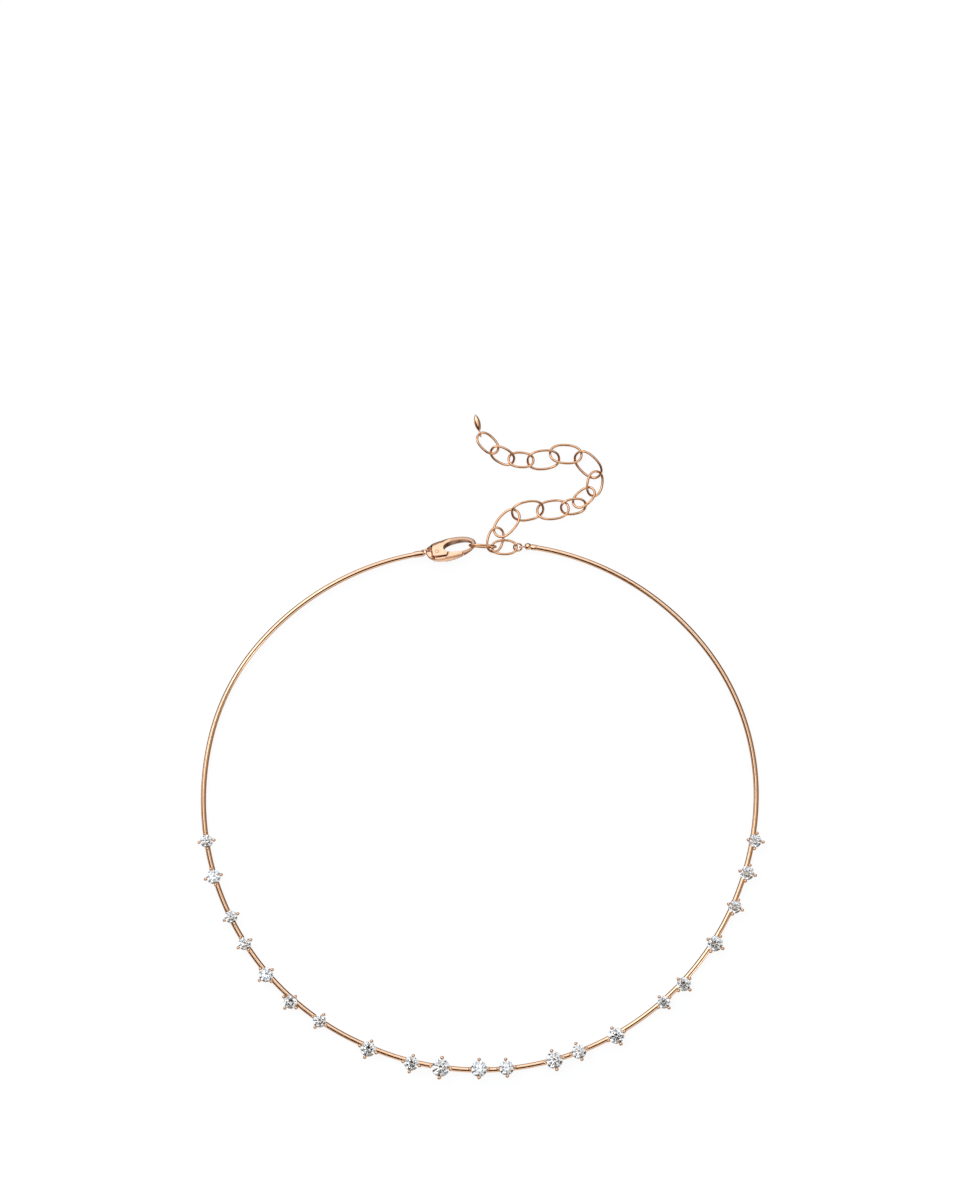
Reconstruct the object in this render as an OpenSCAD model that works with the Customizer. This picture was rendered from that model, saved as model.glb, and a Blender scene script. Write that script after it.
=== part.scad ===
/* [Collar] */
// Height of the collar's line above the surface at its front
front_z = 0.6; // [0.6:0.05:0.8]
// Height of the collar's line above the surface at the clasp
back_z = 1.8; // [1.7:0.05:1.9]
// Diameter of the core wire that everything is threaded on
core_d = 0.4; // [0.3:0.05:0.45]
// Outer diameter of the threaded tubes
tube_d = 1.1; // [1:0.05:1.15]
// Bore of the tubes, sleeves and end caps
bore_d = 0.7; // [0.65:0.05:0.75]
// Distance from one tube's middle to the next
tube_pitch = 1.58; // [1.5:0.02:2]
// Gap between neighbouring tubes
tube_gap = 0.12; // [0.1:0.01:0.2]
// Diameter of the end caps
cap_d = 1.3; // [1.2:0.05:1.4]

/* [Settings] */
// Length of the sleeve under each stone
sleeve_l = 2.2; // [2:0.1:2.4]
// Outer diameter of the sleeve
sleeve_d = 1.2; // [1.15:0.05:1.2]
// Diameter of the claws
claw_d = 0.45; // [0.4:0.05:0.5]
// Wire diameter of the gallery ring
gallery_d = 0.4; // [0.35:0.05:0.45]

/* [Stones] */
// Table width as a share of the girdle
table_share = 0.56; // [0.53:0.01:0.6]
// Crown height as a share of the girdle
crown_share = 0.15; // [0.13:0.01:0.16]
// Pavilion depth as a share of the girdle
pavilion_share = 0.43; // [0.41:0.01:0.44]
// Girdle thickness as a share of the girdle's diameter
girdle_share = 0.03; // [0.02:0.01:0.04]

/* [Chain] */
// Wire diameter of the oval links
link_wire = 0.5; // [0.45:0.05:0.55]
// Length of a big link
big_l = 7.1; // [7:0.05:7.2]
// Width of a big link
big_w = 4.6; // [4.55:0.05:4.65]
// Length of a small link
small_l = 5.7; // [5.65:0.05:5.75]
// Width of a small link
small_w = 3.8; // [3.75:0.05:3.85]
// Length of the link that hooks into the clasp
hooked_l = 5.95; // [5.9:0.05:6]

/* [Clasp] */
// Length of the clasp from its tail to the end of its hook
clasp_l = 10.7; // [10.65:0.05:10.75]
// Reach of the clasp's outline to its upper side
clasp_up = 1.9; // [1.85:0.05:1.95]
// Reach of the lever's outline to the lower side
clasp_low = 2.8; // [2.75:0.05:2.85]
// Thickness of the clasp where it is thickest
clasp_t = 2; // [1.9:0.05:2.1]
// Roll of the clasp as it lies, with its lever side up
clasp_roll = 28; // [26:1:30]
// Diameter of the lever's pivot pin
pin_d = 0.7; // [0.6:0.05:0.7]
// Opening angle of the lever, for a drawing of the open clasp
lever_open = 0; // [0:1:20]

/* [Drop] */
// Length of the navette drop at the chain's end
drop_l = 3.9; // [3.6:0.1:4.2]
// Width of the navette drop
drop_w = 1.3; // [1.2:0.05:1.5]
// Thickness of the navette drop
drop_t = 1; // [0.8:0.05:1.1]

/* [Hidden] */
$fn = 32;
smooth = 360;
gold = "#d9a184";
gold_dark = "#b97f5f";
diamond = "#eef3f7";

// Arcs of the collar from the clasp round the left side, the front and the right side, each
// running on from the one before. Columns: radius, sweep in degrees
arcs = [
    [57, 42],
    [46, 25],
    [56, 79.5],
    [75, 4.5],
    [58, 109],
    [50, 39.5],
    [57, 45.5],
];
// Where the collar's line starts at the clasp: x, y, heading
collar_start = [-12, 40.6, 188.5];
front_y = -68;

// Stones in order round the collar. Columns: place along the collar, girdle diameter, outward lean
along = 0;
girdle = 1;
lean = 2;
stones = [
    [84.6, 2.7, -2],
    [92.2, 3.0, 4],
    [101.4, 2.7, -6],
    [107.7, 2.7, 1],
    [115.6, 3.1, 8],
    [123.2, 3.0, 18],
    [130.4, 2.8, 0],
    [142.2, 3.3, 8],
    [151.7, 3.1, 7],
    [157.9, 3.8, -2],
    [166.0, 3.4, -11],
    [171.8, 3.1, -9],
    [182.0, 3.6, -3],
    [187.5, 3.1, -5],
    [196.0, 3.4, 4],
    [208.2, 2.7, 7],
    [213.8, 3.0, 12],
    [224.5, 3.3, 11],
    [233.2, 2.8, 14],
    [240.7, 3.0, 12],
    [247.6, 2.8, 16],
];
last = len(stones) - 1;

// Links on the surface beside the clasp. Columns: x, y, heading, roll, pitch, height of the middle
// or 0 for a link that rests on the surface, length, width
chain_links = [
    [2.9, 43.4, 75, 15, 5, 1.17, small_l, small_w],
    [5.3, 46.9, 50, -23, 0, 0, big_l, big_w],
    [9.7, 49.5, 12, 22, 0, 0, big_l, big_w],
    [15.0, 49.7, 7, -20, 0, 0, big_l, big_w],
    [19.3, 50.4, 10, 20, 0, 0, small_l, small_w],
    [21.5, 52.3, 41, -22, 0, 0, small_l, small_w],
    [23.8, 55.2, 80, 19, 0, 0, small_l, small_w],
    [22.4, 59.2, 135, -22, 0, 0, big_l, big_w],
    [17.7, 61.4, 176, 20, 0, 0, big_l, big_w],
    [13.0, 60.2, 186, -20, 0, 0, big_l, big_w],
    [8.3, 60.2, 176, 21, 0, 0, small_l, small_w],
    [4.4, 61.1, 151, -19, 0, 0, small_l, small_w],
    [1.3, 63.7, 135, 20, 0, 0, small_l, small_w],
];
clasp_link_place = [0.24, 42.08, -3.3, 83.6, 2, 1.98, hooked_l, small_w];
ring_link_place = [4.8, 41.83, 0, -20, 1.5, 1.88, small_l - 0.05, small_w - 0.2];

clasp_place = [-11.7, 40.9];
clasp_heading = 9.9;
clasp_z = clasp_up * sin(clasp_roll) + clasp_t / 2 * cos(clasp_roll);
pivot = [2.3, -0.85];
pivot_bore = pin_d + 0.1;
pin_hole = pin_d + 0.04;
slot_t = 1.4;
lever_t = 1.3;
shoulder_r = 2.3;
tip_r = 5.5;
part_gap = 0.1;
tail_hole_d = 0.88;
tail_hole_u = 0.8;
tail_ring_r = 0.9;
tail_ring_d = 0.38;

jump_place = [7.62, 41.84, 1.82];
jump_r = 0.85;
jump_d = 0.36;
jump_roll = 28;
jump_heading = 3;
eye_place = [8.5, 41.9, 1.82];
eye_heading = 4;
eye_r = 0.52;
eye_d = 0.3;
drop_place = [-0.3, 65.7, 0];
drop_heading = 104;
ball_d = 1.45;
ball_s = 334.4;
right_cap_s = 332.6;
left_cap_l = 2.1;
cap_wall = 0.9;

two = function (i) i < 9 ? str("0", i + 1) : str(i + 1);

// The collar's line: a chain of arcs, followed by its length from the clasp
function arc_length(row) = row[0] * row[1] * PI / 180;
function arc_end(p, radius, sweep) = [
    p[0] + radius * (sin(p[2] + sweep) - sin(p[2])),
    p[1] - radius * (cos(p[2] + sweep) - cos(p[2])),
    p[2] + sweep,
];
arc_from = [
    for (i = 0, p = collar_start; i < len(arcs); p = arc_end(p, arcs[i][0], arcs[i][1]), i = i + 1) p
];
arc_s = [for (i = 0, s = 0; i < len(arcs); s = s + arc_length(arcs[i]), i = i + 1) s];
function arc_index(s) = max([for (i = [0 : len(arcs) - 1]) if (arc_s[i] <= s) i]);
function collar_at(s) =
    let (i = arc_index(s), radius = arcs[i][0])
    arc_end(arc_from[i], radius, (s - arc_s[i]) / radius * 180 / PI);

// The collar lies in one plane that rises a little from its front to the clasp
module collar_plane() {
    tilt = asin((back_z - front_z) / (collar_start[1] - front_y));
    translate([0, front_y, front_z]) rotate([tilt, 0, 0]) translate([0, -front_y, 0]) children();
}

// X along the collar, Z up out of its plane
module on_collar(s) {
    p = collar_at(s);
    collar_plane() translate([p[0], p[1], 0]) rotate([0, 0, p[2]]) children();
}

module round_ring(r, wire) {
    rotate_extrude() translate([r, 0]) circle(d = wire);
}

// One thin wire along all the arcs, with a short ferrule where two arcs are joined
module core_wire() {
    joint = 0.03;
    ferrule_l = 1;
    ferrule_d = core_d + 0.1;
    from_s = cap_wall + 0.1;
    to_s = ball_s - 0.4;
    color(gold_dark) {
        collar_plane()
        for (i = [0 : len(arcs) - 1]) {
            p = arc_from[i];
            radius = arcs[i][0];
            a = max(arc_s[i] + joint, from_s) - arc_s[i];
            b = min(arc_s[i] + arc_length(arcs[i]) - joint, to_s) - arc_s[i];
            translate([p[0] - radius * sin(p[2]), p[1] + radius * cos(p[2]), 0])
            rotate([0, 0, p[2] - 90 + a / radius * 180 / PI])
            rotate_extrude(angle = (b - a) / radius * 180 / PI, $fn = smooth)
            translate([radius, 0]) circle(d = core_d, $fn = 24);
        }
        for (i = [1 : len(arcs) - 1])
            on_collar(arc_s[i]) rotate([0, 90, 0]) cylinder(d = ferrule_d, h = ferrule_l, center = true);
    }
}

// Tubes fill the space from one place along the collar to another
module tubes(from_s, to_s) {
    room = to_s - from_s + tube_gap;
    count = round(room / tube_pitch);
    pitch = room / count;
    for (i = [0 : count - 1])
        on_collar(from_s + pitch * (i + 0.5) - tube_gap / 2) rotate([0, 90, 0])
        difference() {
            cylinder(d = tube_d, h = pitch - tube_gap, center = true);
            cylinder(d = bore_d, h = pitch, center = true);
        }
}

function sleeve_from(i) = stones[i][along] - sleeve_l / 2 - tube_gap;
function sleeve_to(i) = stones[i][along] + sleeve_l / 2 + tube_gap;

module tubes_left() color(gold) tubes(left_cap_l + tube_gap, sleeve_from(0));
module tubes_front() color(gold) for (i = [1 : last]) tubes(sleeve_to(i - 1), sleeve_from(i));
module tubes_right() color(gold) tubes(sleeve_to(last), right_cap_s - tube_gap);

// Bored cap with a solid end, and the soldered ring that goes through the clasp's tail
module left_cap() {
    color(gold) {
        on_collar(0) rotate([0, 90, 0]) difference() {
            cylinder(d = cap_d, h = left_cap_l);
            translate([0, 0, cap_wall]) cylinder(d = bore_d, h = left_cap_l);
        }
        clasp_frame() translate([tail_hole_u - tail_ring_r + 0.07, 0, 0]) rotate([90, 0, 0])
            round_ring(tail_ring_r, tail_ring_d);
    }
}

// Bored cap with a ball at its end, and a small upright eye
module right_cap() {
    reach = ball_s - right_cap_s;
    color(gold) {
        difference() {
            union() {
                on_collar(right_cap_s) rotate([0, 90, 0]) cylinder(d = sleeve_d, h = reach);
                on_collar(ball_s) sphere(d = ball_d);
            }
            on_collar(right_cap_s - 1) rotate([0, 90, 0]) cylinder(d = bore_d, h = reach + 0.7);
        }
        translate(eye_place) rotate([90, 0, eye_heading]) round_ring(eye_r, eye_d);
    }
}

// Heights in a setting, above the collar's line, and reaches out from its middle
function girdle_z(d) = sleeve_d / 2 + 0.15 + pavilion_share * d;
function claw_foot(d) = [0.35, 0.52];
function claw_knee(d) = [d / 2 + 0.35, girdle_z(d) - 0.15];
function claw_tip(d) = [d / 2 + 0.22, girdle_z(d) + 0.22 + 0.065 * d];
function bead_d(d) = 0.5 + 0.08 * d;

// A rod between two points, each given as its reach out and its height
module rod(from, to, d) {
    run = to - from;
    translate([from[0], 0, from[1]]) rotate([0, atan2(run[0], run[1]), 0]) cylinder(d = d, h = norm(run));
}

module claw(d) {
    knee = claw_knee(d);
    tip = claw_tip(d);
    rod(claw_foot(d), knee, claw_d);
    rod(knee, tip, claw_d);
    translate([knee[0], 0, knee[1]]) sphere(d = claw_d * 1.15);
    translate([tip[0], 0, tip[1]]) sphere(d = bead_d(d));
}

module gallery(d) {
    foot = claw_foot(d);
    knee = claw_knee(d);
    share = 0.5;
    middle = foot + share * (knee - foot);
    translate([0, 0, middle[1]]) round_ring(middle[0], gallery_d);
}

// A threaded sleeve with a gallery ring and four claws
module setting(i) {
    d = stones[i][girdle];
    color(gold) on_collar(stones[i][along]) rotate([stones[i][lean], 0, 0]) {
        difference() {
            rotate([0, 90, 0]) cylinder(d = sleeve_d, h = sleeve_l, center = true);
            rotate([0, 90, 0]) cylinder(d = bore_d, h = sleeve_l + 1, center = true);
        }
        gallery(d);
        for (a = [0 : 90 : 270]) rotate([0, 0, a]) claw(d);
    }
}

// A round brilliant: table, eight stars, eight kites and sixteen halves above a thin girdle, and
// sixteen halves and eight mains below it
module brilliant(d) {
    r = d / 2;
    crown_h = crown_share * d;
    girdle_h = girdle_share * d;
    table_r = table_share * r / cos(22.5);
    star_r = (table_r * cos(22.5) + r) / 2;
    star_z = crown_h * (r - star_r * cos(22.5)) / (r - table_r);
    lower_r = 0.25 * r;
    lower_z = -girdle_h - pavilion_share * d * (1 - lower_r * cos(22.5) / r);
    ring = function (radius, z, count, turn)
        [for (k = [0 : count - 1]) [for (a = [turn + k * 360 / count]) each [radius * cos(a), radius * sin(a), z]]];
    table = 0;
    star = 8;
    top = 16;
    bottom = 32;
    lower = 48;
    culet = 56;
    points = concat(
        ring(table_r, crown_h, 8, 0),
        ring(star_r, star_z, 8, 22.5),
        ring(r, 0, 16, 0),
        ring(r, -girdle_h, 16, 0),
        ring(lower_r, lower_z, 8, 22.5),
        [[0, 0, -girdle_h - pavilion_share * d]]
    );
    eight = [0 : 7];
    next = function (k) (k + 1) % 8;
    before = function (k) (k + 7) % 8;
    faces = concat(
        [[for (k = eight) table + 7 - k]],
        [for (k = eight) [table + k, table + next(k), star + k]],
        [for (k = eight) [table + k, star + k, top + 2 * k, star + before(k)]],
        [for (k = eight) [star + k, top + 2 * k + 1, top + 2 * k]],
        [for (k = eight) [star + k, top + 2 * next(k), top + 2 * k + 1]],
        [for (k = [0 : 15]) [top + k, top + (k + 1) % 16, bottom + (k + 1) % 16, bottom + k]],
        [for (k = eight) [lower + k, bottom + 2 * k, bottom + 2 * k + 1]],
        [for (k = eight) [lower + k, bottom + 2 * k + 1, bottom + 2 * next(k)]],
        [for (k = eight) [culet, lower + before(k), bottom + 2 * k, lower + k]]
    );
    polyhedron(points, faces, convexity = 2);
}

module stone(i) {
    d = stones[i][girdle];
    color(diamond) on_collar(stones[i][along]) rotate([stones[i][lean], 0, 0])
        translate([0, 0, girdle_z(d) + girdle_share * d / 2]) brilliant(d);
}

// An oval link: a six sided wire swept round a slightly squared oval in sixteen steps
module oval_link(l, w) {
    steps = 16;
    sides = 6;
    square = 2.3;
    power = function (v) sign(v) * pow(abs(v), 2 / square);
    at = function (i) let (t = i * 360 / steps) [
        (l - link_wire) / 2 * power(cos(t)), (w - link_wire) / 2 * power(sin(t)), 0
    ];
    points = [
        for (i = [0 : steps - 1])
            let (run = at(i + 1) - at(i - 1), out = [run[1], -run[0], 0] / norm(run))
            for (j = [0 : sides - 1])
                let (a = 30 + j * 360 / sides)
                at(i) + link_wire / 2 * (out * cos(a) + [0, 0, sin(a)])
    ];
    corner = function (i, j) (i % steps) * sides + j % sides;
    faces = [
        for (i = [0 : steps - 1])
            for (j = [0 : sides - 1])
                each [
                    [corner(i, j), corner(i, j + 1), corner(i + 1, j + 1)],
                    [corner(i, j), corner(i + 1, j + 1), corner(i + 1, j)],
                ]
    ];
    polyhedron(points, faces, convexity = 4);
}

// A link in its place, at its own height or resting on the surface with one side up
module placed_link(row) {
    roll = row[3];
    height = row[5];
    resting = link_wire / 2 + (row[7] - link_wire) / 2 * abs(sin(roll));
    translate([row[0], row[1], height > 0 ? height : resting]) rotate([roll, row[4], row[2]])
        oval_link(row[6], row[7]);
}

module extender_chain() color(gold) for (row = chain_links) placed_link(row);
module clasp_link() color(gold) placed_link(clasp_link_place);
module ring_link() color(gold) placed_link(ring_link_place);

module jump_ring() {
    color(gold) translate(jump_place) rotate([jump_roll, 0, jump_heading]) round_ring(jump_r, jump_d);
}

// The drop's own frame: X from its loop to its point
module drop_frame() {
    translate(drop_place) rotate([0, 0, drop_heading]) children();
}

// A domed navette with a small upright loop that holds the last link
module end_drop() {
    loop_r = 0.62;
    loop_d = 0.32;
    seat = 0.25;
    outline_r = (drop_l * drop_l / 4 + drop_w * drop_w / 4) / drop_w;
    dome_r = (drop_l * drop_l / 4 + drop_t * drop_t / 4) / drop_t;
    color(gold) drop_frame() {
        translate([0, 0, loop_r + loop_d / 2]) rotate([90, 0, 0]) round_ring(loop_r, loop_d);
        translate([loop_r - seat + drop_l / 2, 0, drop_t / 2]) intersection() {
            translate([0, outline_r - drop_w / 2, 0]) cylinder(r = outline_r, h = 4, center = true);
            translate([0, drop_w / 2 - outline_r, 0]) cylinder(r = outline_r, h = 4, center = true);
            translate([0, 0, dome_r - drop_t / 2]) sphere(r = dome_r);
            translate([0, 0, drop_t / 2 - dome_r]) sphere(r = dome_r);
        }
    }
}

// The clasp's own frame: X from its tail to its hook, Y to its upper side, Z out of its face
module clasp_frame() {
    translate([clasp_place[0], clasp_place[1], clasp_z]) rotate([0, 0, clasp_heading])
        rotate([-clasp_roll, 0, 0]) children();
}

// A quarter of an oval from the angle turn on; 2 is an ellipse and more is squarer
function quarter(centre, a, b, square, turn) = [
    for (t = [0 : 7.5 : 82.5])
        let (c = cos(t + turn), s = sin(t + turn))
        centre + [a * sign(c) * pow(abs(c), 2 / square), b * sign(s) * pow(abs(s), 2 / square)]
];

module clasp_outline(low) {
    up_middle = 6.8;
    low_middle = 3.9;
    polygon(concat(
        quarter([up_middle, 0], clasp_l - up_middle, clasp_up, 2.1, 0),
        quarter([up_middle, 0], up_middle, clasp_up, 2.3, 90),
        quarter([low_middle, 0], low_middle, low, 2.4, 180),
        quarter([low_middle, 0], clasp_l - low_middle, low, 1.9, 270)
    ));
}

module clasp_opening() {
    middle = [6.85, -0.3];
    reach = 3.08;
    half_w = 1.34;
    polygon([for (turn = [0 : 90 : 270]) each quarter(middle, reach, half_w, 2.3, turn)]);
}

// The room for the lever and its swing, from the pivot to the tip of the hook
module lever_room() {
    hub_r = 0.87;
    swing = 19;
    far = 12;
    intersection() {
        translate(pivot) circle(r = tip_r + part_gap, $fn = 96);
        union() {
            translate(pivot) circle(r = hub_r);
            polygon([
                pivot + [-hub_r, 0],
                pivot + [-hub_r, -far],
                pivot + [far, -far],
                pivot + far * [cos(swing), sin(swing)],
                pivot + [0, 0.3],
            ]);
        }
    }
}

// The part of the lever's room that the cheek plates cover
module cheeks() {
    cheek_low = 2.05;
    intersection() {
        translate(pivot) circle(r = shoulder_r, $fn = 96);
        clasp_outline(cheek_low);
    }
}

// Thin at the tail, thick at the pivot and slim at the end of the hook
module clasp_side(less) {
    half = clasp_t / 2 - less;
    tail = 0.45 - less;
    hook = 0.45 - less;
    side = [[-0.1, tail], [1.1, tail + 0.03], [1.4, half], [5.5, half * 0.95], [clasp_l + 0.1, hook]];
    rotate([90, 0, 0]) linear_extrude(height = 8, center = true)
        polygon(concat(side, [for (i = [len(side) - 1 : -1 : 0]) [side[i][0], -side[i][1]]]));
}

module clasp_body() {
    color(gold) clasp_frame() difference() {
        intersection() {
            clasp_side(0);
            linear_extrude(height = 4, center = true) difference() {
                clasp_outline(clasp_low);
                clasp_opening();
                difference() {
                    lever_room();
                    cheeks();
                }
            }
        }
        linear_extrude(height = slot_t, center = true) lever_room();
        translate(pivot) cylinder(d = pin_hole, h = 4, center = true);
        translate([tail_hole_u, 0, 0]) cylinder(d = tail_hole_d, h = 4, center = true);
    }
}

// The lever's outline: a hub at the pivot and an arm that closes the hook
module lever_outline() {
    hub_r = 0.75;
    top = -0.8;
    far = 12;
    translate(pivot) circle(r = hub_r);
    intersection() {
        translate(pivot) circle(r = tip_r, $fn = 96);
        difference() {
            clasp_outline(clasp_low);
            clasp_opening();
        }
        polygon([
            [pivot[0] - hub_r, -far],
            [pivot[0] - hub_r, pivot[1] - 0.3],
            [pivot[0], top],
            [far, top],
            [far, -far],
        ]);
    }
}

module clasp_lever() {
    color(gold) clasp_frame() translate(pivot) rotate([0, 0, lever_open]) translate(-pivot)
    difference() {
        intersection() {
            clasp_side(0);
            union() {
                linear_extrude(height = lever_t, center = true) lever_outline();
                linear_extrude(height = 4, center = true) difference() {
                    lever_outline();
                    translate(pivot) circle(r = shoulder_r + part_gap, $fn = 96);
                }
            }
        }
        translate(pivot) cylinder(d = pivot_bore, h = 4, center = true);
    }
}

module clasp_pin() {
    color(gold_dark) clasp_frame() translate(pivot) cylinder(d = pin_d, h = clasp_t - 0.04, center = true);
}

core_wire();
tubes_left();
tubes_front();
tubes_right();
left_cap();
right_cap();
for (i = [0 : last]) {
    setting(i);
    stone(i);
}
jump_ring();
ring_link();
clasp_link();
extender_chain();
end_drop();
clasp_body();
clasp_lever();
clasp_pin();
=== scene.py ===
import math

import bpy
import numpy as np
from mathutils import Matrix, Vector


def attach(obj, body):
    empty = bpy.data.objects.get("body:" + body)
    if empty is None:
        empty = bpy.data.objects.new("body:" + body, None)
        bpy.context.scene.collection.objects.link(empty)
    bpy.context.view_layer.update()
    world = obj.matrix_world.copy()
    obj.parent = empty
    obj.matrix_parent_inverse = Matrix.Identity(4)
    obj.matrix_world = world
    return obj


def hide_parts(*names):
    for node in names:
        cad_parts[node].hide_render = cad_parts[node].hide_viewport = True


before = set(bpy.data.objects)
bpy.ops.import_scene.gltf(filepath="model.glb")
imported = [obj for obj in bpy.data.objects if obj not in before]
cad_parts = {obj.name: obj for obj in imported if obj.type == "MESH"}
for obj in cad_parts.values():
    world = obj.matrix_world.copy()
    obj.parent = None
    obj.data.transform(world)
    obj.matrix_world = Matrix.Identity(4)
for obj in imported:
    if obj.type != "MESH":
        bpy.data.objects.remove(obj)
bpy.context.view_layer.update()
scene = bpy.context.scene
toMetres = Matrix.Scale(0.001, 4)     # pieces are made in millimetres and scaled once
upright = Matrix.Rotation(math.pi / 2, 4, "X")
nearAxis = 0.002                      # the radius of a turned profile where it meets the axis
print("frame loaded:", len(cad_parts), "nodes")


# Shader helpers: a wrapped socket takes part in plain expressions
class Wire:
    def __init__(self, tree, socket):
        self.tree = tree
        self.socket = socket

    def maths(self, operation, *values):
        made = self.tree.nodes.new("ShaderNodeMath")
        made.operation = operation
        for place, value in zip(made.inputs, values):
            connect(self.tree, value, place)
        return Wire(self.tree, made.outputs[0])

    def __add__(self, other):
        return self.maths("ADD", self, other)

    def __radd__(self, other):
        return self.maths("ADD", other, self)

    def __sub__(self, other):
        return self.maths("SUBTRACT", self, other)

    def __rsub__(self, other):
        return self.maths("SUBTRACT", other, self)

    def __mul__(self, other):
        return self.maths("MULTIPLY", self, other)

    def __rmul__(self, other):
        return self.maths("MULTIPLY", other, self)

    def soften(self, low, high):      # 0 below low, 1 above high, smooth between
        made = self.tree.nodes.new("ShaderNodeMapRange")
        made.interpolation_type = "SMOOTHSTEP"
        connect(self.tree, self, made.inputs["Value"])
        made.inputs["From Min"].default_value = low
        made.inputs["From Max"].default_value = high
        return Wire(self.tree, made.outputs[0])


def connect(tree, value, place):
    if isinstance(value, Wire):
        tree.links.new(value.socket, place)
    else:
        place.default_value = value


class Shader:
    def __init__(self, owner):
        owner.use_nodes = True
        self.tree = owner.node_tree
        self.tree.nodes.clear()

    def node(self, kind, settings=None, sockets=None, out=0):
        made = self.tree.nodes.new(kind)
        for key, value in (settings or {}).items():
            setattr(made, key, value)
        for key, value in (sockets or {}).items():
            connect(self.tree, value, made.inputs[key])
        return None if out is None else Wire(self.tree, made.outputs[out])


def mixed(shader, share, first, second):
    return shader.node("ShaderNodeMix", {"data_type": "RGBA"}, {0: share, 6: first, 7: second}, out=2)


def noise(shader, look):
    # clouds in the piece's own space, with their scale per metre
    place = shader.node("ShaderNodeTexCoord", out="Object")
    return shader.node(
        "ShaderNodeTexNoise", None, {"Vector": place, "Scale": look["scale"], "Detail": look["detail"]})


def softNoise(shader, look):
    return noise(shader, look).soften(look["low"], look["high"])


def paint(name, recipe):
    material = bpy.data.materials.new(name)
    shader = Shader(material)
    shader.node("ShaderNodeOutputMaterial", None, {"Surface": recipe(shader)}, out=None)
    return material


# Rose gold: one alloy, worked in several ways; the core wire's darker gold and the clasp's dark colour
# are painted shade
goldLooks = {
    "tubeGold": {
        "pale": (0.95, 0.60, 0.38, 1), "deep": (0.92, 0.56, 0.34, 1),
        "rough": (0.04, 0.08), "grain": 0.02},
    "settingGold": {
        "pale": (0.90, 0.57, 0.36, 1), "deep": (0.84, 0.50, 0.30, 1),
        "rough": (0.14, 0.24), "grain": 0.03},
    "linkGold": {
        "pale": (0.79, 0.43, 0.23, 1), "deep": (0.72, 0.37, 0.18, 1),
        "rough": (0.05, 0.10), "grain": 0.02},
    "claspGold": {
        "pale": (0.90, 0.55, 0.35, 1), "deep": (0.86, 0.50, 0.30, 1),
        # the clasp's last colour is painted shade, for where its gold mirrors dark walls and gaps
        "rough": (0.05, 0.11), "grain": 0.02, "paintedShade": (0.17, 0.065, 0.03, 1)},
    # the core wire's gold is darkened as painted shade, since it shows only deep in the tubes' seams
    "shadedCoreGold": {
        "pale": (0.50, 0.26, 0.16, 1), "deep": (0.32, 0.15, 0.09, 1),
        "rough": (0.28, 0.42), "grain": 0.05},
}
goldNoise = {
    "cloud": {"scale": 900.0, "detail": 3.0, "low": 0.32, "high": 0.68},
    "wear": {"scale": 4200.0, "detail": 4.0, "low": 0.35, "high": 0.75},
    "grain": {"scale": 26000.0, "detail": 2.0},
    "grainDepth": 0.00002,
}


def rosegold(look):
    def recipe(shader):
        colour = mixed(shader, softNoise(shader, goldNoise["cloud"]), look["deep"], look["pale"])
        if "paintedShade" in look:          # the clasp's meshes say where their gold lies in shade
            shade = shader.node("ShaderNodeAttribute", {"attribute_name": "paintedShade"}, out=2)
            # painted shade mixed into the gold's colour
            colour = mixed(shader, shade, colour, look["paintedShade"])
        low, high = look["rough"]
        rough = low + (high - low) * softNoise(shader, goldNoise["wear"])
        bump = shader.node("ShaderNodeBump", None, {
            "Height": noise(shader, goldNoise["grain"]), "Strength": look["grain"],
            "Distance": goldNoise["grainDepth"]})
        return shader.node("ShaderNodeBsdfPrincipled", None, {
            "Base Color": colour, "Metallic": 1.0, "Roughness": rough, "Normal": bump})
    return recipe


brilliant = {
    "dim": (0.86, 0.84, 0.80, 1), "clear": (0.94, 0.91, 0.86, 1), "index": 2.42,
    "cloud": {"scale": 1400.0, "detail": 1.0, "low": 0.3, "high": 0.7},
}


def diamond(shader):
    colour = mixed(shader, softNoise(shader, brilliant["cloud"]), brilliant["dim"], brilliant["clear"])
    return shader.node("ShaderNodeBsdfPrincipled", None, {
        "Base Color": colour, "Roughness": 0.0, "IOR": brilliant["index"], "Transmission Weight": 1.0})


materials = {name: paint(name, rosegold(look)) for name, look in goldLooks.items()}
materials["diamond"] = paint("diamond", diamond)
print("materials:", ", ".join(materials))


# Meshes are gathered from shells, each with its own place
class Shells:
    def __init__(self):
        self.points = []
        self.faces = []

    def add(self, shell, place=Matrix()):
        points, faces = shell
        first = len(self.points)
        self.points += [place @ Vector(p) for p in points]
        self.faces += [[first + i for i in face] for face in faces]

    def mesh(self, name):
        made = bpy.data.meshes.new(name)
        made.from_pydata(self.points, [], self.faces)
        made.validate()
        return made


def piece(name, mesh, material, body, replaced, place=Matrix()):
    mesh.transform(toMetres @ place)
    mesh.materials.clear()
    mesh.materials.append(materials[material])
    mesh.shade_smooth()
    made = bpy.data.objects.new(name, mesh)
    scene.collection.objects.link(made)
    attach(made, body)
    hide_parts(*replaced)


def skin(points, rows, columns, closed):
    # faces between loops of points; the last loop meets the first, or both ends are flat
    faces = []
    for i in range(rows if closed else rows - 1):
        a, b = i * columns, ((i + 1) % rows) * columns
        for j in range(columns):
            k = (j + 1) % columns
            faces.append([b + j, b + k, a + k, a + j])
    if not closed:
        last = (rows - 1) * columns
        faces.append(list(range(columns)))
        faces.append([last + j for j in reversed(range(columns))])
    return points, faces


def lathe(profile, sides=28, closed=True):
    # turns (along, radius) pairs about X; an open profile starts and ends on the axis
    points = []
    for along, radius in profile:
        for j in range(sides):
            angle = 2 * math.pi * j / sides
            points.append((along, radius * math.cos(angle), radius * math.sin(angle)))
    return skin(points, len(profile), sides, closed)


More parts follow.
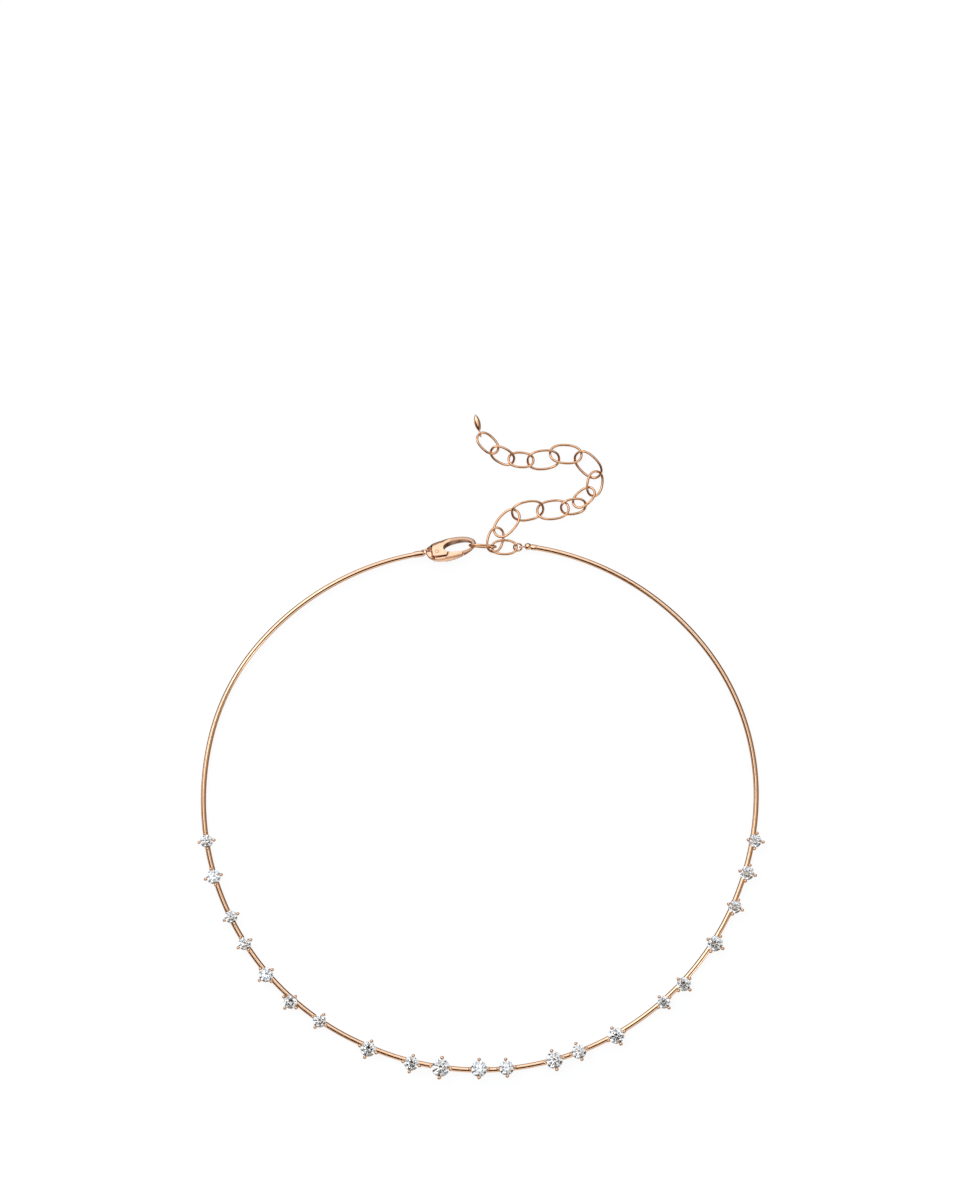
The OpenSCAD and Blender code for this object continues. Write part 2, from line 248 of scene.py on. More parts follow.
def rounded(along, radius, lip, steps=4):
    # a quarter turn from the wall at this radius to the end face at this place along
    return [
        (along - lip * (1 - math.sin(a)), radius - lip * (1 - math.cos(a)))
        for a in [math.pi / 2 * k / steps for k in range(steps + 1)]
    ]


def mirrored(profile):
    return [(-along, radius) for along, radius in reversed(profile)]


def sweep(path, radii, sides=12, closed=False, up=Vector((0, 0, 1))):
    # a round wire along a path, with a frame carried from point to point
    path = [Vector(p) for p in path]
    count = len(path)
    points = []
    side = None
    for i, here in enumerate(path):
        before = path[(i - 1) % count] if closed or i else here
        after = path[(i + 1) % count] if closed or i < count - 1 else here
        run = (after - before).normalized()
        if side is None:
            side = run.cross(up)
            side = side.normalized() if side.length > 0.01 else run.orthogonal().normalized()
        side = (side - side.dot(run) * run).normalized()
        other = run.cross(side)
        for j in range(sides):
            angle = 2 * math.pi * j / sides
            points.append(here + radii[i] * (math.cos(angle) * side + math.sin(angle) * other))
    return skin(points, count, sides, closed)


def ring(radius, wire, steps=48, sides=14):
    # lies in the XY plane
    angles = [2 * math.pi * k / steps for k in range(steps)]
    path = [(radius * math.cos(a), radius * math.sin(a), 0) for a in angles]
    return sweep(path, [wire / 2] * steps, sides, closed=True)


def ball(radius, place, rings=14, sides=20):
    angles = [math.pi * k / rings for k in range(rings + 1)]
    profile = [(-radius * math.cos(a), max(radius * math.sin(a), nearAxis)) for a in angles]
    points, faces = lathe(profile, sides, closed=False)
    return [Vector(p) + place for p in points], faces


def smoothstep(low, high, value):
    t = min(1.0, max(0.0, (value - low) / (high - low)))
    return t * t * (3 - 2 * t)


def fused(mesh, voxel, passes):
    # one closed skin round overlapping shells, with its joints softened as solder does
    holder = bpy.data.objects.new("holder", mesh)
    scene.collection.objects.link(holder)
    remesh = holder.modifiers.new("remesh", "REMESH")
    remesh.mode = "VOXEL"
    remesh.voxel_size = voxel
    soften = holder.modifiers.new("soften", "SMOOTH")
    soften.factor = 0.5
    soften.iterations = passes
    scene.view_layers[0].update()
    finished = holder.evaluated_get(bpy.context.evaluated_depsgraph_get())
    made = bpy.data.meshes.new_from_object(finished)
    bpy.data.objects.remove(holder)
    return made


# The collar's line: arcs of a radius and a turn in degrees, followed by its length from the clasp
collar = {
    "arcs": [(57, 42), (46, 25), (56, 79.5), (75, 4.5), (58, 109), (50, 39.5), (57, 45.5)],
    "start": (-12, 40.6, 188.5),      # x, y and heading
    "frontY": -68, "frontZ": 0.6, "backZ": 1.8, "tubesFrom": 2.1, "tubesTo": 332.6,
}
# The tubes threaded on it; seam is the room between two, wobble their play in degrees
tubes = {
    "width": 1.1, "bore": 0.7, "pitch": 1.58, "room": 0.12, "seam": 0.015, "wobble": 0.35,
    "lip": 0.022, "wall": 0.04, "mouth": 0.03, "throat": 0.08, "sides": 28,
}


def arcEnd(place, radius, sweepAngle):
    x, y, heading = place
    a, b = math.radians(heading), math.radians(heading + sweepAngle)
    return (x + radius * (math.sin(b) - math.sin(a)), y - radius * (math.cos(b) - math.cos(a)),
            heading + sweepAngle)


def collarPlane():
    rise = math.asin((collar["backZ"] - collar["frontZ"]) / (collar["start"][1] - collar["frontY"]))
    there = Matrix.Translation((0, collar["frontY"], collar["frontZ"]))
    return there @ Matrix.Rotation(rise, 4, "X") @ Matrix.Translation((0, -collar["frontY"], 0))


def onCollar(s):
    place = collar["start"]
    for radius, sweepAngle in collar["arcs"]:
        length = math.radians(sweepAngle) * radius
        if s <= length:
            break
        place = arcEnd(place, radius, sweepAngle)
        s -= length
    x, y, heading = arcEnd(place, radius, math.degrees(s / radius))
    turn = Matrix.Rotation(math.radians(heading), 4, "Z")
    return collarPlane() @ Matrix.Translation((x, y, 0)) @ turn


def chance(i):
    # a steady number from -0.5 to 0.5 for each i
    return (math.sin(i * 12.9898 + 4.1) * 43758.5453) % 1 - 0.5


def tubeShell(length, width, lip):
    # a straight wall, the lip, and round into the bore
    half, bore = length / 2, tubes["bore"] / 2
    outer = [(half - lip - tubes["wall"], width / 2)] + rounded(half, width / 2, lip)
    inner = [(half, bore + tubes["mouth"])]
    inner += [(half - tubes["mouth"], bore), (half - tubes["throat"], bore)]
    right = outer + inner
    return lathe(right + mirrored(right), tubes["sides"])


def addTubes(shells, fromS, toS):
    # fills the room between its neighbours' faces, as many tubes as the frame has
    count = round((toS - fromS - tubes["room"]) / tubes["pitch"])
    pitch = (toS - fromS) / count
    turn = math.radians(tubes["wobble"])
    for i in range(count):
        s = fromS + pitch * (i + 0.5)
        tilt = Matrix.Rotation(turn * chance(s), 4, "Y") @ Matrix.Rotation(turn * chance(s + 7), 4, "Z")
        shells.add(tubeShell(pitch - tubes["seam"], tubes["width"], tubes["lip"]), onCollar(s) @ tilt)


# Stones in order round the collar: place along it, girdle width, outward lean in degrees
stones = {
    "rows": [
        (84.6, 2.7, -2), (92.2, 3.0, 4), (101.4, 2.7, -6), (107.7, 2.7, 1), (115.6, 3.1, 8),
        (123.2, 3.0, 18), (130.4, 2.8, 0), (142.2, 3.3, 8), (151.7, 3.1, 7), (157.9, 3.8, -2),
        (166.0, 3.4, -11), (171.8, 3.1, -9), (182.0, 3.6, -3), (187.5, 3.1, -5), (196.0, 3.4, 4),
        (208.2, 2.7, 7), (213.8, 3.0, 12), (224.5, 3.3, 11), (233.2, 2.8, 14), (240.7, 3.0, 12),
        (247.6, 2.8, 16),
    ],
    "pavilion": 0.43,
}
# Their settings: a claw's foot is placed from the middle, its knee and tip from the girdle's edge
settings = {
    "sleeveLength": 2.2, "sleeveWidth": 1.2, "lip": 0.1, "culet": 0.15, "galleryWire": 0.36,
    "footOut": 0.33, "footUp": 0.46, "kneeOut": 0.35, "kneeDown": 0.15,
    "tipOut": 0.22, "tipUp": 0.22, "tipUpShare": 0.065, "bead": 0.25, "beadShare": 0.04,
    "footRadius": 0.2, "tipRadius": 0.235, "straightSpeed": 1.7, "bendFrom": 0.35, "bendTo": 0.85,
    "steps": 14, "sides": 14, "voxel": 0.075, "passes": 3,
}


def sleeveFrom(i):
    return stones["rows"][i][0] - settings["sleeveLength"] / 2


def sleeveTo(i):
    return stones["rows"][i][0] + settings["sleeveLength"] / 2


lastStone = len(stones["rows"]) - 1
stretches = {
    "left": [(collar["tubesFrom"], sleeveFrom(0))],
    "front": [(sleeveTo(i - 1), sleeveFrom(i)) for i in range(1, lastStone + 1)],
    "right": [(sleeveTo(lastStone), collar["tubesTo"])],
}
for part, gaps in stretches.items():
    tubeShells = Shells()
    for fromS, toS in gaps:
        addTubes(tubeShells, fromS, toS)
    name = part + "Tubes"
    piece(name, tubeShells.mesh(name), "tubeGold", "necklace", ["tubes_" + part])
print("tubes threaded")


def clawPath(foot, knee, tip):
    # straight from the foot to the knee, then curled over to the tip
    path, radii = [], []
    for k in range(settings["steps"] + 1):
        t = k / settings["steps"]
        early = foot.lerp(knee, min(1, t * settings["straightSpeed"]))
        late = knee.lerp(tip, max(0, (t - settings["bendFrom"]) / (1 - settings["bendFrom"])))
        path.append(early.lerp(late, smoothstep(settings["bendFrom"], settings["bendTo"], t)))
        radii.append(settings["footRadius"] + (settings["tipRadius"] - settings["footRadius"]) * t)
    return path, radii


def settingMesh(girdle):
    # sleeve, gallery ring and four claws that curl over the girdle
    width = settings["sleeveWidth"]
    girdleZ = width / 2 + settings["culet"] + stones["pavilion"] * girdle
    foot = Vector((settings["footOut"], 0, settings["footUp"]))
    knee = Vector((girdle / 2 + settings["kneeOut"], 0, girdleZ - settings["kneeDown"]))
    tipZ = girdleZ + settings["tipUp"] + settings["tipUpShare"] * girdle
    tip = Vector((girdle / 2 + settings["tipOut"], 0, tipZ))
    shells = Shells()
    shells.add(tubeShell(settings["sleeveLength"], width, settings["lip"]))
    middle = foot.lerp(knee, 0.5)
    shells.add(ring(middle.x, settings["galleryWire"]), Matrix.Translation((0, 0, middle.z)))
    path, radii = clawPath(foot, knee, tip)
    for quarter in range(4):
        turn = Matrix.Rotation(math.pi / 2 * quarter, 4, "Z")
        shells.add(sweep(path, radii, settings["sides"], up=Vector((0, 1, 0))), turn)
        shells.add(ball(settings["bead"] + settings["beadShare"] * girdle, tip), turn)
    return fused(shells.mesh("setting"), settings["voxel"], settings["passes"])


settingMeshes = {}
for i, (s, girdle, lean) in enumerate(stones["rows"]):
    if girdle not in settingMeshes:
        settingMeshes[girdle] = settingMesh(girdle)
    number = f"{i + 1:02d}"
    place = onCollar(s) @ Matrix.Rotation(math.radians(lean), 4, "X")
    piece("clawSetting" + number, settingMeshes[girdle].copy(), "settingGold", "necklace",
          ["setting_" + number], place)
print("settings made:", len(settingMeshes), "sizes")


# Links lie where the frame's own links lie, with a smooth round wire and a soldered seam
links = {
    "wire": 0.5, "square": 2.3, "steps": 72, "sides": 16,
    "seam": 0.07, "seamReach": 1.6, "firstSeam": 7, "seamStep": 36,
}
jumpRing = {"radius": 0.85, "wire": 0.36, "steps": 56, "sides": 16}


def looseParts(node):
    # the frame's meshes are split along their edges, so points are first joined by place
    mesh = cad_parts[node].data
    keys = {}                         # places in micrometres
    owner = []
    for vertex in mesh.vertices:
        key = tuple(round(c * 1e6) for c in vertex.co)
        owner.append(keys.setdefault(key, len(keys)))
    parent = list(range(len(keys)))

    def root(a):
        while parent[a] != a:
            parent[a] = parent[parent[a]]
            a = parent[a]
        return a

    for polygon in mesh.polygons:
        first = root(owner[polygon.vertices[0]])
        for v in polygon.vertices[1:]:
            parent[root(owner[v])] = first
    groups = {}
    for key, index in keys.items():
        groups.setdefault(root(index), []).append([c / 1000 for c in key])
    return [np.array(g) for g in groups.values()]      # in millimetres


def framed(points):
    # middle, main directions and reach of a link's points
    middle = points.mean(0)
    _, axes = np.linalg.eigh(np.cov((points - middle).T))
    axes = axes[:, ::-1]
    if np.linalg.det(axes) < 0:
        axes[:, 2] *= -1
    local = (points - middle) @ axes
    middle = middle + axes @ ((local.max(0) + local.min(0)) / 2)
    reach = (local.max(0) - local.min(0)) / 2
    place = Matrix([list(row) + [m] for row, m in zip(axes, middle)] + [[0, 0, 0, 1]])
    return place, reach


def power(value, square):
    return math.copysign(abs(value) ** (2 / square), value)


def linkShell(reach, seamAt):
    wire, steps, square = links["wire"], links["steps"], links["square"]
    hexagon = math.cos(math.pi / 6)                 # the frame's wire has six sides
    a = reach[0] - wire / 2 * hexagon
    b = reach[1] - wire / 2 * hexagon
    path, radii = [], []
    for k in range(steps):
        t = 2 * math.pi * k / steps
        path.append((a * power(math.cos(t), square), b * power(math.sin(t), square), 0))
        away = min(abs(k - seamAt), steps - abs(k - seamAt))
        radii.append(wire / 2 * (1 + links["seam"] * math.exp(-(away / links["seamReach"]) ** 2)))
    return sweep(path, radii, links["sides"], closed=True)


def addLinks(name, node):
    shells = Shells()
    for i, points in enumerate(looseParts(node)):
        place, reach = framed(points)
        seamAt = (links["firstSeam"] + links["seamStep"] * i) % links["steps"]
        shells.add(linkShell(reach, seamAt), place)
    piece(name, shells.mesh(name), "linkGold", "necklace", [node])


addLinks("extenderLinks", "extender_chain")
addLinks("hookedLink", "clasp_link")
addLinks("ringLink", "ring_link")

jumpPlace = framed(looseParts("jump_ring")[0])[0]
jumpShell = ring(jumpRing["radius"], jumpRing["wire"], jumpRing["steps"], jumpRing["sides"])
jumpShells = Shells()
jumpShells.add(jumpShell, jumpPlace)
piece("jumpRing", jumpShells.mesh("jumpRing"), "linkGold", "necklace", ["jump_ring"])
print("links and jump ring made")


# The drop: a full navette with a soft edge, on an upright loop
drop = {
    "place": (-0.3, 65.7, 0), "heading": 104, "length": 3.9, "width": 1.3, "thickness": 1.0,
    "point": 0.004, "fullness": 0.8, "square": 1.75, "steps": 40, "sides": 24,
    "loopRadius": 0.62, "loopWire": 0.32, "seat": 0.25,
}


def navetteShell():
    steps, sides, square = drop["steps"], drop["sides"], drop["square"]
    length, width = drop["length"], drop["width"]
    arcRadius = (length ** 2 / 4 + width ** 2 / 4) / width
    points = []
    for i in range(steps + 1):
        x = -length / 2 * math.cos(math.pi * i / steps)
        half = max(math.sqrt(arcRadius ** 2 - x ** 2) - (arcRadius - width / 2), drop["point"])
        thick = drop["thickness"] / 2 * (half / (width / 2)) ** drop["fullness"]
        for j in range(sides):
            t = 2 * math.pi * j / sides
            points.append((x, half * power(math.cos(t), square), thick * power(math.sin(t), square)))
    return skin(points, steps + 1, sides, closed=False)


dropPlace = Matrix.Translation(drop["place"]) @ Matrix.Rotation(math.radians(drop["heading"]), 4, "Z")
loopUp = Matrix.Translation((0, 0, drop["loopRadius"] + drop["loopWire"] / 2))
navetteAlong = drop["loopRadius"] - drop["seat"] + drop["length"] / 2
dropShells = Shells()
dropShells.add(ring(drop["loopRadius"], drop["loopWire"]), loopUp @ upright)
dropShells.add(navetteShell(), Matrix.Translation((navetteAlong, 0, drop["thickness"] / 2)))
piece("navetteDrop", dropShells.mesh("navetteDrop"), "claspGold", "necklace",
      ["end_drop"], dropPlace)
print("drop made")


# The clasp in its own frame: X from tail to hook, Y to its upper side, Z out of its face
clasp = {
    "tail": (-11.7, 40.9, 1.7749), "heading": 9.9, "roll": 28, "length": 10.7,
    "upMiddle": 6.8, "lowMiddle": 3.9, "middleBlend": (-0.8, 0.8), "up": 1.9, "low": 2.8,
    "upSquares": (2.3, 2.1), "lowSquares": (2.4, 1.9),
    "halfAt": [(-0.1, 0.45), (1.1, 0.48), (1.4, 1.0), (5.5, 0.95), (10.8, 0.45)],    # thickness / 2
    "opening": (6.85, -0.3, 3.08, 1.34),      # middle and reach, along and across
    "groove": [(0.55, 0.5), (1.93, 0.81), (3.0, 1.12), (4.0, 1.2)],
    "grooveWidth": 0.12, "grooveDepth": 0.16, "slope": 0.5, "slopeEnds": (5.5, 3.5), "cutShare": 0.4,
    "pivot": (2.3, -0.85), "shoulder": 2.4, "leverHalf": 0.65,
    "pinWidth": 0.7, "pinLength": 1.96, "pinLip": 0.08, "pinSides": 24,
    "ringRadius": 0.9, "ringWire": 0.38, "ringAlong": -0.03, "voxel": 0.045, "passes": 6,
}
# Edges: the share of the outline where the edge begins, how far the wall bulges and the face falls
claspEdges = {
    "tail": {"begin": 0.68, "bulge": 0.30, "fall": 0.40},
    "upper": {"begin": 0.80, "bulge": 0.30, "fall": 0.35},
    "lower": {"begin": 0.85, "bulge": 0.45, "fall": 0.12},
}
edgeBlend = {"tailToUpper": (3.0, 5.0), "upperToLower": (0.3, -0.5), "outermost": 1.15}
# Shade: how dark the gold is in places that mirror dark ones, and from where to where it sets in
claspShade = {
    "wallEnds": (1.16, 1.05), "wallDepths": (0.1, 0.3),
    "wallTone": 0.9, "wallWave": 0.1, "waveRate": 2.6,
    "rimTone": 0.85, "rimEnds": (0.87, 0.96), "lowRim": (-0.5, -0.8), "upRim": (0.2, 0.6),
    "seam": [(0.9, -1.7), (1.6, -2.1), (4.3, -2.15), (4.65, -1.4)], "seamWidth": 0.2,
    "slopeTone": 0.6, "slopeEnds": (0.0, 0.1), "hookTone": 0.38, "hookEnds": (4.6, 6.0),
}
claspPlace = (
    Matrix.Translation(clasp["tail"])
    @ Matrix.Rotation(math.radians(clasp["heading"]), 4, "Z")
    @ Matrix.Rotation(math.radians(-clasp["roll"]), 4, "X")
)


def nearLine(line, width, u, v):
    # 1 on the line, and softly down to 0 beside it
    away = math.inf
    for (x0, y0), (x1, y1) in zip(line, line[1:]):
        run = Vector((x1 - x0, y1 - y0))
        t = min(1, max(0, Vector((u - x0, v - y0)).dot(run) / run.length_squared))
        away = min(away, math.hypot(u - x0 - t * run.x, v - y0 - t * run.y))
    return math.exp(-(away / width) ** 2)


def outlineShare(u, v):
    # 0 in the middle and 1 on the clasp's outline
    above = v > 0
    middle = clasp["upMiddle"] if above else clasp["lowMiddle"]
    right = u > middle
    square = (clasp["upSquares"] if above else clasp["lowSquares"])[int(right)]
    across = (u - middle) / (clasp["length"] - middle if right else middle)
    upward = v / (clasp["up"] if above else clasp["low"])
    return (abs(across) ** square + abs(upward) ** square) ** (1 / square)


def edgeAt(u, v):
    # the edge's values, blended between the tail, the upper side and the lower side
    toUpper = smoothstep(*edgeBlend["tailToUpper"], u)
    toLower = smoothstep(*edgeBlend["upperToLower"], v)
    tail, upper, lower = claspEdges["tail"], claspEdges["upper"], claspEdges["lower"]
    return {
        key: (1 - toLower) * ((1 - toUpper) * tail[key] + toUpper * upper[key]) + toLower * lower[key]
        for key in upper
    }


def polished(u, v, w, half):
    # a squarish edge becomes a rounded one: the wall bulges and the face falls towards it
    edge = edgeAt(u, v)
    begin = edge["begin"]
    share = outlineShare(u, v)
    if share <= begin:
        return u, v, w
    t = min(edgeBlend["outermost"], (share - begin) / (1 - begin))
    z = max(-1.0, min(1.0, w / half))
    inward = (begin + (1 - begin) * t * math.sqrt(1 - edge["bulge"] * z * z)) / share
    up = smoothstep(*clasp["middleBlend"], v)
    middle = clasp["lowMiddle"] + (clasp["upMiddle"] - clasp["lowMiddle"]) * up
    fallen = w * math.sqrt(1 - edge["fall"] * min(1.0, t) ** 2)
    return middle + (u - middle) * inward, v * inward, fallen


def shadeAt(u, v, w, half):
    # painted shade: dark inside the opening, along the rim where it turns away, and in the face's seam
    middleU, middleV, reachU, reachV = clasp["opening"]
    fromMiddle = math.hypot((u - middleU) / reachU, (v - middleV) / reachV)
    shallow, deep = claspShade["wallDepths"]
    wall = smoothstep(*claspShade["wallEnds"], fromMiddle)
    wall *= smoothstep(half - shallow, half - deep, w)
    wall *= claspShade["wallTone"] + claspShade["wallWave"] * math.cos(claspShade["waveRate"] * u)
    turned = smoothstep(*claspShade["lowRim" if v < 0 else "upRim"], w / half)
    rim = claspShade["rimTone"] * smoothstep(*claspShade["rimEnds"], outlineShare(u, v)) * turned
    seam = nearLine(claspShade["seam"], claspShade["seamWidth"], u, v) if w > 0 else 0
    return max(wall, rim, seam)


def claspMesh(node, grooved):
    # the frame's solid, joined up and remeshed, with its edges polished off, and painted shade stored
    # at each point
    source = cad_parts[node].data.copy()
    source.transform(claspPlace.inverted() @ Matrix.Scale(1000, 4))
    made = fused(source, clasp["voxel"], clasp["passes"])
    # painted shade: how dark each point's gold is painted, read by the clasp's shader
    paintedShade = made.attributes.new("paintedShade", "FLOAT", "POINT")
    places, halves = zip(*clasp["halfAt"])
    lineU, lineV = zip(*clasp["groove"])
    pivotU, pivotV = clasp["pivot"]
    for vertex in made.vertices:
        u, v, w = vertex.co
        half = float(np.interp(u, places, halves))
        shade = shadeAt(u, v, w, half)
        if grooved:
            groove = nearLine(clasp["groove"], clasp["grooveWidth"], u, v)
            w -= math.copysign(min(clasp["grooveDepth"], abs(w) * clasp["cutShare"]), w) * groove
            above = max(0.0, v - float(np.interp(u, lineU, lineV)))
            above *= smoothstep(*clasp["slopeEnds"], u)
            slope = claspShade["slopeTone"] * smoothstep(*claspShade["slopeEnds"], above)
            hook = claspShade["hookTone"] * smoothstep(*claspShade["hookEnds"], u)
            # painted shade in the groove, on the slope above it and towards the hook
            shade = max(shade, groove, slope, hook)
            if w > 0:
                w -= min(clasp["slope"] * above, clasp["cutShare"] * w)
        elif math.hypot(u - pivotU, v - pivotV) < clasp["shoulder"]:
            half = min(half, clasp["leverHalf"])
        vertex.co = polished(u, v, w, half)
        paintedShade.data[vertex.index].value = shade
    return made


hookMesh = claspMesh("clasp_body", grooved=True)
leverMesh = claspMesh("clasp_lever", grooved=False)
piece("claspHook", hookMesh, "claspGold", "necklace", ["clasp_body"], claspPlace)
piece("claspLever", leverMesh, "claspGold", "lever", ["clasp_lever"], claspPlace)

pinShells = Shells()
pinHalf = clasp["pinLength"] / 2
pinEnd = rounded(pinHalf, clasp["pinWidth"] / 2, clasp["pinLip"]) + [(pinHalf, nearAxis)]
pinShells.add(lathe(mirrored(pinEnd) + pinEnd, clasp["pinSides"], closed=False),
              Matrix.Translation((*clasp["pivot"], 0)) @ Matrix.Rotation(-math.pi / 2, 4, "Y"))
piece("claspPin", pinShells.mesh("claspPin"), "claspGold", "necklace",
      ["clasp_pin"], claspPlace)
print("clasp made")


# The end caps: a domed one with the clasp's ring, and one with a ball and a small eye
leftEnd = {
    "width": 1.3, "dome": 0.28, "domeSteps": 6, "domeTo": 0.34, "lip": 0.06, "wall": 0.12,
    "boreFrom": 0.9, "mouth": 0.06, "sides": 32,
}
rightEnd = {
    "width": 1.2, "lip": 0.08, "ballAt": 334.4, "ballWidth": 1.45, "ballSteps": 18,
    "neckShare": 0.82, "neckFrom": 0.05, "neckTo": 0.1, "boreTo": 0.8, "mouth": 0.05, "sides": 32,
    "eyePlace": (8.5, 41.9, 1.82), "eyeHeading": 4, "eyeRadius": 0.52, "eyeWire": 0.3, "eyeSteps": 40,
}


def leftProfile():
    # from the domed tip along the wall, over the lip and back into the bore
    length, radius, bore = collar["tubesFrom"], leftEnd["width"] / 2, tubes["bore"] / 2
    dome = rounded(length, radius, leftEnd["dome"], leftEnd["domeSteps"])
    return (
        [(0, nearAxis)] + [(length - along, r) for along, r in reversed(dome)]
        + [(leftEnd["domeTo"], radius), (length - leftEnd["wall"], radius)]
        + rounded(length, radius, leftEnd["lip"])
        + [(length, bore + tubes["mouth"]), (length - leftEnd["mouth"], bore)]
        + [(leftEnd["boreFrom"], bore), (leftEnd["boreFrom"], nearAxis)]
    )


def rightProfile():
    # from inside the bore over the lip, along the sleeve, through the neck and round the ball
    radius, bore = rightEnd["width"] / 2, tubes["bore"] / 2
    ballAt, ballRadius = rightEnd["ballAt"] - collar["tubesTo"], rightEnd["ballWidth"] / 2
    neck, neckAt = rightEnd["neckShare"] * radius, ballAt - ballRadius
    first, steps = math.asin(neck / ballRadius), rightEnd["ballSteps"]
    angles = [first + (math.pi - first) * k / steps for k in range(steps + 1)]
    return (
        [(rightEnd["boreTo"], nearAxis), (rightEnd["boreTo"], bore)]
        + [(rightEnd["mouth"], bore), (0, bore + tubes["mouth"])]
        + mirrored(rounded(0, radius, rightEnd["lip"]))
        + [(neckAt - rightEnd["neckFrom"], radius), (neckAt + rightEnd["neckTo"], neck)]
        + [(ballAt - ballRadius * math.cos(a), max(ballRadius * math.sin(a), nearAxis)) for a in angles]
    )


leftCap, rightCap = Shells(), Shells()
leftCap.add(lathe(leftProfile(), leftEnd["sides"], closed=False), onCollar(0))
leftCap.add(ring(clasp["ringRadius"], clasp["ringWire"]),
            claspPlace @ Matrix.Translation((clasp["ringAlong"], 0, 0)) @ upright)
eyeTurn = Matrix.Rotation(math.radians(rightEnd["eyeHeading"]), 4, "Z")
rightCap.add(lathe(rightProfile(), rightEnd["sides"], closed=False), onCollar(collar["tubesTo"]))
rightCap.add(ring(rightEnd["eyeRadius"], rightEnd["eyeWire"], rightEnd["eyeSteps"]),
             Matrix.Translation(rightEnd["eyePlace"]) @ eyeTurn @ upright)
piece("leftCap", leftCap.mesh("leftCap"), "claspGold", "necklace", ["left_cap"])
piece("rightCap", rightCap.mesh("rightCap"), "claspGold", "necklace", ["right_cap"])
print("end caps made")


# The frame's own stones and core wire stay, in their finish; the core wire's darker gold is painted
# shade
for node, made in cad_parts.items():
    finish = "diamond" if node.startswith("stone_") else "shadedCoreGold" if node == "core_wire" else None
    if finish:
        made.data.materials.clear()
        made.data.materials.append(materials[finish])


# Studio: a lit white table in a tent, dim low down and bright above, warm where it is dim
studio = {
    "floorReach": 3.0, "glow": 0.90, "paper": 0.14, "paperSpread": 1.02,
    "tent": 1.30, "below": 0.30, "tentFrom": -0.34, "tentTo": 0.23,
    "warm": (1.25, 1.0, 0.75, 1), "cool": (0.90, 1.0, 1.13, 1), "warmTo": 0.15, "coolFrom": 1.3,
}
# Round patches in the tent: compass angle from east, height angle, radius and soft edge in degrees
patches = [
    {"turn": -95, "rise": 59, "radius": 37, "edge": 17, "glow": 0.01},
    {"turn": -20, "rise": 10, "radius": 24, "edge": 6, "glow": 2.9},
    {"turn": -166, "rise": 69, "radius": 16, "edge": 2, "glow": 2.2},
    {"turn": 40, "rise": -4, "radius": 29, "edge": 8, "glow": 0.01},
    {"turn": 153, "rise": -19, "radius": 26, "edge": 5, "glow": 0.01},
    {"turn": -1, "rise": 17, "radius": 35, "edge": 4, "glow": 0.20},
    {"turn": -143, "rise": 32, "radius": 35, "edge": 8, "glow": 0.05},
    {"turn": -90, "rise": -36, "radius": 20, "edge": 8, "glow": 0.95},
    {"turn": 100, "rise": 34, "radius": 15, "edge": 7, "glow": 1.5},
]
keyBox = {"place": (-0.35, 0.3, 0.6), "size": 0.3, "power": 0.6}
# The camera looks straight down; frameHeight is the picture's height at the stones' level
view = {
    "aim": (-0.000315, 0.030765), "height": 1.5, "sharpAt": 0.0012, "frameHeight": 0.252, "sensor": 36,
}


def grey(level):
    return (level, level, level, 1)


def paperRecipe(shader):
    cloud = noise(shader, {"scale": 3.0, "detail": 2.0})
    tone = mixed(shader, cloud, grey(studio["paper"]), grey(studio["paper"] * studio["paperSpread"]))
    return shader.node("ShaderNodeBsdfPrincipled", None, {
        "Base Color": tone, "Roughness": 0.9, "Specular IOR Level": 0.0,
        "Emission Color": grey(1), "Emission Strength": studio["glow"]})


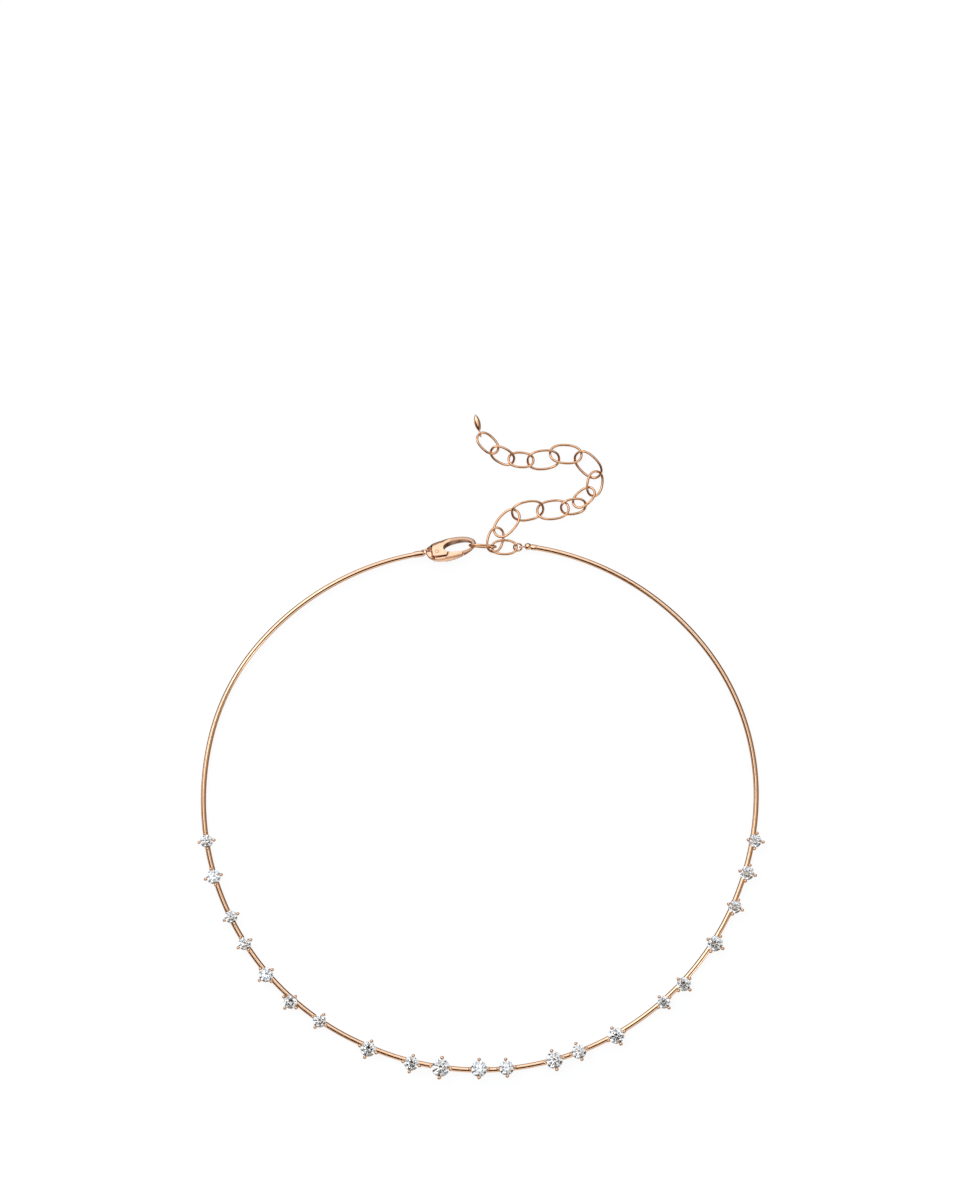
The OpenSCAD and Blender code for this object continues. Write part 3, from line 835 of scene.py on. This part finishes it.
reach = studio["floorReach"]
corners = [(-reach, -reach, 0), (reach, -reach, 0), (reach, reach, 0), (-reach, reach, 0)]
floorShells = Shells()
floorShells.add((corners, [[0, 1, 2, 3]]))
floorMesh = floorShells.mesh("floor")
floorMesh.materials.append(paint("paper", paperRecipe))
floor = bpy.data.objects.new("floor", floorMesh)
scene.collection.objects.link(floor)
floor.visible_glossy = False          # the metal mirrors the dim room below the table's edge


def cosineTo(shader, direction, towards):
    sockets = {0: direction, 1: towards}
    return shader.node("ShaderNodeVectorMath", {"operation": "DOT_PRODUCT"}, sockets, out=1)


world = bpy.data.worlds.new("tent")
scene.world = world
sky = Shader(world)
direction = sky.node("ShaderNodeTexCoord", out="Generated")
height = cosineTo(sky, direction, (0, 0, 1)).soften(studio["tentFrom"], studio["tentTo"])
glow = studio["below"] + (studio["tent"] - studio["below"]) * height
for patch in patches:
    turn, rise = math.radians(patch["turn"]), math.radians(patch["rise"])
    towards = (math.cos(rise) * math.cos(turn), math.cos(rise) * math.sin(turn), math.sin(rise))
    facing = cosineTo(sky, direction, towards)
    inner, outer = [math.radians(patch["radius"] + sign * patch["edge"]) for sign in (-1, 1)]
    mask = 1 - facing.maths("ARCCOSINE", facing).soften(inner, outer)
    glow = glow * (1 - mask) + patch["glow"] * mask
tint = mixed(sky, glow.soften(studio["warmTo"], studio["coolFrom"]), studio["warm"], studio["cool"])
background = sky.node("ShaderNodeBackground", None, {"Color": tint, "Strength": glow})
sky.node("ShaderNodeOutputWorld", None, {"Surface": background}, out=None)

light = bpy.data.lights.new("keyBox", "AREA")
light.size = keyBox["size"]
light.energy = keyBox["power"]
lamp = bpy.data.objects.new("keyBox", light)
lamp.location = keyBox["place"]
lamp.rotation_euler = (-Vector(keyBox["place"])).to_track_quat("-Z", "Y").to_euler()
scene.collection.objects.link(lamp)

cameraData = bpy.data.cameras.new("camera")
cameraData.sensor_fit = "VERTICAL"
cameraData.sensor_height = view["sensor"]
cameraData.lens = view["sensor"] * (view["height"] - view["sharpAt"]) / view["frameHeight"]
cameraData.clip_start = 0.01
camera = bpy.data.objects.new("camera", cameraData)
camera.location = (*view["aim"], view["height"])
scene.collection.objects.link(camera)
scene.camera = camera
scene.view_settings.view_transform = "Standard"
print("studio set")
